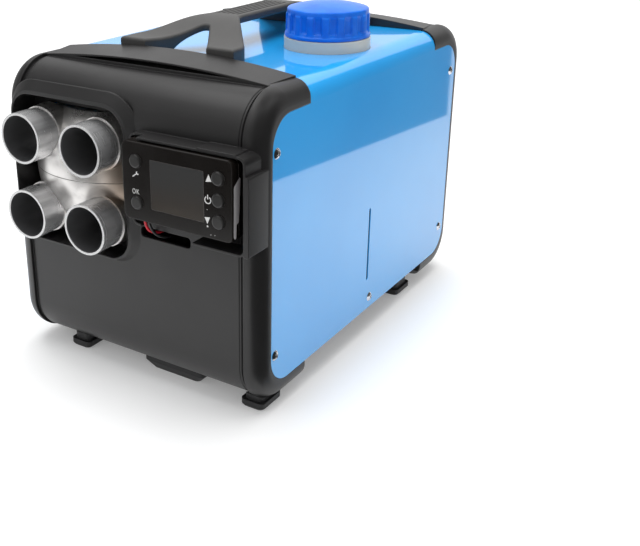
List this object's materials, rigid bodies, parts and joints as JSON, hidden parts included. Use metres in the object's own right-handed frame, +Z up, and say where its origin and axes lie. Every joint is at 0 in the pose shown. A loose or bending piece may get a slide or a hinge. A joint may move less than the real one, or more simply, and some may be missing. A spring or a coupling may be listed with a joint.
{
  "type": "portable diesel air heater",
  "caption": "Portable diesel air heater: blue sheet housing between black moulded end covers, warm-air outlet pipes, control unit, fuel tank with screw cap and carry handle.",
  "frame": {"origin": "on the ground under the middle of the overall length and width", "axes": "+X to the side of the control unit, +Y from the outlet pipes to the air inlet, +Z up"},
  "size_m": [0.254, 0.386, 0.2933],
  "materials": {
    "black_insulation": "insulated lead",
    "blue_sheet": "glossy light-blue powder coat",
    "burner_steel": "heat-proof steel",
    "button_rubber": "satin",
    "cap_plastic": "bright blue moulding",
    "casing_plastic": "heat-proof moulding",
    "circuit_laminate": "lacquered board",
    "cover_plastic": "fine-grained black moulding",
    "display_glass": "dark display",
    "exchanger_casting": "as cast",
    "fan_plastic": "moulded",
    "filter_plastic": "clear moulding",
    "fitting_brass": "plain",
    "foot_rubber": "matte",
    "gland_rubber": "matte",
    "handle_plastic": "fine-grained black moulding",
    "hose_rubber": "fuel hose",
    "manifold_aluminium": "brushed casting",
    "motor_steel": "plated steel",
    "outlet_aluminium": "satin turned pipe",
    "red_insulation": "insulated lead",
    "screw_steel": "polished dome",
    "seal_rubber": "matte",
    "sensor_plastic": "moulded",
    "spring_steel": "spring wire",
    "stub_steel": "stainless tube",
    "tank_plastic": "natural blow-moulded plastic",
    "tray_steel": "black coated steel",
    "unit_plastic": "glossy black",
    "unit_window": "tinted window"
  },
  "bodies": {
    "heater": {"base_plate": "tray_steel", "black_lead": "black_insulation", "burner_head": "burner_steel", "cable_gland": "gland_rubber", "carry_handle": "handle_plastic", "combustion_chamber": "burner_steel", "control_circuit": "circuit_laminate", "controller_board": "circuit_laminate", "controller_front_shell": "unit_plastic", "controller_rear_shell": "unit_plastic", "controller_window": "unit_window", "display_module": "display_glass", "exhaust_pipe": "stub_steel", "filter_hose": "hose_rubber", "front_cover": "cover_plastic", "front_left_foot": "foot_rubber", "front_right_foot": "foot_rubber", "front_skid": "foot_rubber", "fuel_filter": "filter_plastic", "fuel_tank": "tank_plastic", "glow_plug": "burner_steel", "heat_exchanger": "exchanger_casting", "heater_bracket": "tray_steel", "heater_casing_lower": "casing_plastic", "heater_casing_upper": "casing_plastic", "heater_hose": "hose_rubber", "housing_shell": "blue_sheet", "inlet_grille": "cover_plastic", "intake_pipe": "stub_steel", "lower_left_pipe": "outlet_aluminium", "lower_right_pipe": "outlet_aluminium", "manifold_lower": "manifold_aluminium", "manifold_upper": "manifold_aluminium", "motor_body": "motor_steel", "motor_bracket": "casing_plastic", "overheat_sensor": "sensor_plastic", "pump_body": "motor_steel", "pump_mount": "seal_rubber", "pump_spring": "spring_steel", "rear_cover": "cover_plastic", "rear_left_foot": "foot_rubber", "rear_right_foot": "foot_rubber", "red_lead": "red_insulation", "side_screws": "screw_steel", "supply_hose": "hose_rubber", "tank_fitting": "fitting_brass", "upper_left_pipe": "outlet_aluminium", "upper_right_pipe": "outlet_aluminium"},
    "rotor": {"motor_shaft": "motor_steel", "hot_air_fan": "fan_plastic", "combustion_impeller": "fan_plastic"},
    "seal": {"cap_seal": "seal_rubber"},
    "cap": {"tank_cap": "cap_plastic"},
    "plunger": {"pump_plunger": "motor_steel"},
    "down_button": {"down_button": "button_rubber"},
    "ok_button": {"ok_button": "button_rubber"},
    "power_button": {"power_button": "button_rubber"},
    "settings_button": {"settings_button": "button_rubber"},
    "up_button": {"up_button": "button_rubber"}
  },
  "joints": [
    {"name": "fan_spin", "type": "hinge", "parent": "heater", "child": "rotor", "pos_m": [-0.0603, 0.1155, 0.1656], "axis": [0, 1, 0], "continuous": true},
    {"name": "cap_lift", "type": "slide", "parent": "heater", "child": "seal", "axis": [0, 0, 1], "range_m": [0, 0.065]},
    {"name": "cap_turn", "type": "hinge", "parent": "seal", "child": "cap", "pos_m": [0.072, 0.015, 0.255], "axis": [0, 0, 1], "range_deg": [0, 900]},
    {"name": "plunger_stroke", "type": "slide", "parent": "heater", "child": "plunger", "axis": [0, 0, 1], "range_m": [0, 0.003], "stiffness_N_per_m": 300, "deforming": ["pump_spring"]},
    {"name": "down_press", "type": "slide", "parent": "heater", "child": "down_button", "axis": [0, 1, 0], "range_m": [0, 0.0008], "stiffness_N_per_m": 400},
    {"name": "ok_press", "type": "slide", "parent": "heater", "child": "ok_button", "axis": [0, 1, 0], "range_m": [0, 0.0008], "stiffness_N_per_m": 400},
    {"name": "power_press", "type": "slide", "parent": "heater", "child": "power_button", "axis": [0, 1, 0], "range_m": [0, 0.0008], "stiffness_N_per_m": 400},
    {"name": "settings_press", "type": "slide", "parent": "heater", "child": "settings_button", "axis": [0, 1, 0], "range_m": [0, 0.0008], "stiffness_N_per_m": 400},
    {"name": "up_press", "type": "slide", "parent": "heater", "child": "up_button", "axis": [0, 1, 0], "range_m": [0, 0.0008], "stiffness_N_per_m": 400}
  ]
}
